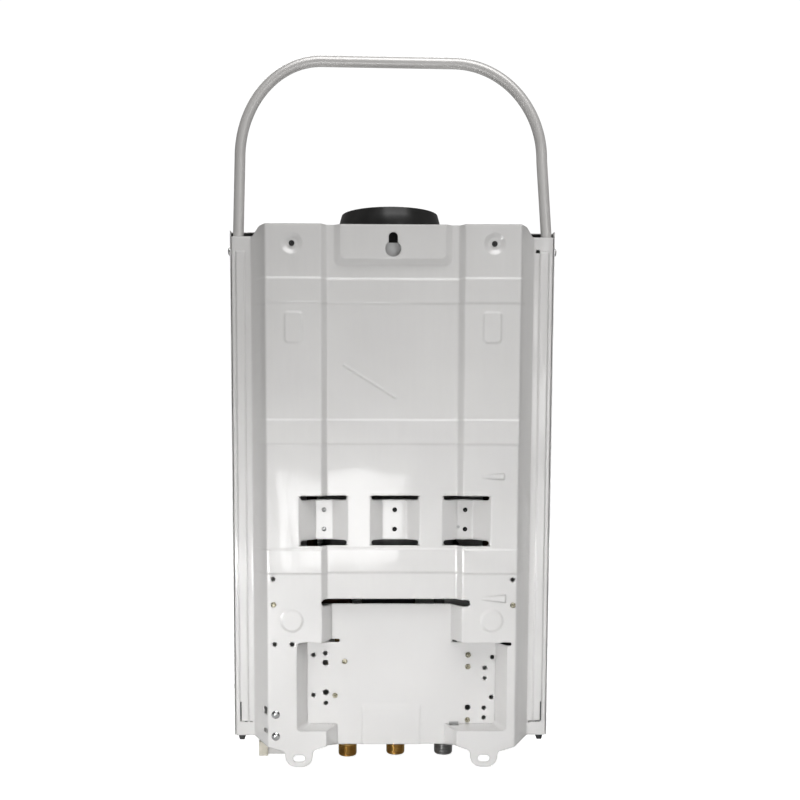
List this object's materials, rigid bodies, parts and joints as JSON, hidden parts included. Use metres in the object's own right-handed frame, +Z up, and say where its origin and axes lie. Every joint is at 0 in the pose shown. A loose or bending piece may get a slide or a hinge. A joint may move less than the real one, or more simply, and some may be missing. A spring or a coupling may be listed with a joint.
{
  "type": "portable gas water heater",
  "caption": "Slim wall-hung gas water heater with a bent-tube carrying handle, pressed back plate with hanging keyhole, round flue collar, pipe fittings and front control knobs.",
  "frame": {"origin": "centre of the hanging screw's shank where it rests at the top of the keyhole slot, in the wall plane", "axes": "+Z up, +Y towards the wall that the heater hangs on, +X towards the cold water inlet"},
  "size_m": [0.3496, 0.175, 0.7605],
  "materials": {
    "plate_enamel": "gloss",
    "cover_enamel": "gloss",
    "handle_steel": "satin",
    "screw_steel": "polished",
    "seal_rubber": "matte",
    "collar_black": "satin",
    "hood_steel": "satin",
    "copper": "satin",
    "burner_steel": "satin",
    "cast_alloy": "matte",
    "brass_bright": "satin",
    "brass_cast": "matte",
    "black_plastic": "matte",
    "bracket_steel": "satin",
    "fitting_grey": "satin",
    "ceramic": "matte",
    "clear_glass": "gloss",
    "white_plastic": "matte",
    "cell_steel": "satin",
    "zinc_yellow": "satin",
    "black_steel": "satin",
    "rivet_steel": "satin",
    "grip_beige": "matte"
  },
  "bodies": {
    "casing": {"back_plate": "plate_enamel", "front_cover": "cover_enamel", "handle_tube": "handle_steel", "handle_screws": "screw_steel", "cover_screws": "screw_steel", "flange_seals": "seal_rubber", "flue_collar": "collar_black", "flue_hood": "hood_steel", "combustion_chamber": "copper", "fin_core": "copper", "water_coil": "copper", "hot_pipe": "copper", "burner_blades": "burner_steel", "burner_frame": "burner_steel", "gas_manifold": "cast_alloy", "gas_nozzles": "brass_bright", "gas_valve_body": "cast_alloy", "gas_solenoid": "black_plastic", "water_valve_body": "brass_cast", "water_valve_cover": "brass_cast", "valve_diaphragm": "seal_rubber", "microswitch": "black_plastic", "switch_bracket": "bracket_steel", "drain_plug": "black_plastic", "gas_inlet_fitting": "fitting_grey", "hot_outlet_fitting": "brass_bright", "cold_inlet_fitting": "brass_bright", "spark_electrodes": "ceramic", "flame_sensor": "ceramic", "electrode_bracket": "bracket_steel", "ignition_box": "black_plastic", "overheat_switch": "black_plastic", "window_glass": "clear_glass", "window_frame": "bracket_steel", "display_lens": "clear_glass", "display_housing": "black_plastic", "chamber_bracket": "bracket_steel", "water_valve_bracket": "bracket_steel", "gas_valve_bracket": "bracket_steel", "battery_sleeve": "white_plastic", "plate_screws": "zinc_yellow", "dimple_screws": "black_steel", "corner_rivets": "screw_steel", "bridge_rivets": "rivet_steel"},
    "gas_control": {"gas_knob": "black_plastic", "gas_spindle": "screw_steel"},
    "season_control": {"season_knob": "black_plastic", "season_spindle": "screw_steel"},
    "water_control": {"water_knob": "black_plastic", "water_spindle": "screw_steel"},
    "push_rod": {"valve_push_rod": "screw_steel"},
    "lever": {"switch_lever": "screw_steel"},
    "tray": {"battery_tray": "white_plastic", "tray_grip": "grip_beige", "batteries": "cell_steel"}
  },
  "joints": [
    {"name": "gas_turn", "type": "hinge", "parent": "casing", "child": "gas_control", "pos_m": [-0.0607, -0.16, -0.4474], "axis": [0, -1, 0], "range_deg": [-270, 0]},
    {"name": "season_turn", "type": "hinge", "parent": "casing", "child": "season_control", "pos_m": [-0.0062, -0.16, -0.4474], "axis": [0, -1, 0], "range_deg": [-90, 0]},
    {"name": "water_turn", "type": "hinge", "parent": "casing", "child": "water_control", "pos_m": [0.0483, -0.16, -0.4474], "axis": [0, -1, 0], "range_deg": [-270, 0]},
    {"name": "rod_push", "type": "slide", "parent": "casing", "child": "push_rod", "axis": [-1, 0, 0], "range_m": [0, 0.003], "stiffness_N_per_m": 150},
    {"name": "lever_swing", "type": "hinge", "parent": "casing", "child": "lever", "pos_m": [-0.017, -0.078, -0.4764], "axis": [0, 1, 0], "range_deg": [0, 9.8]},
    {"name": "tray_pull", "type": "slide", "parent": "casing", "child": "tray", "axis": [0, 0, -1], "range_m": [0, 0.032]}
  ],
  "couplings": [
    {"joint": "lever_swing", "follows": "rod_push", "rad_per_m": 56}
  ]
}
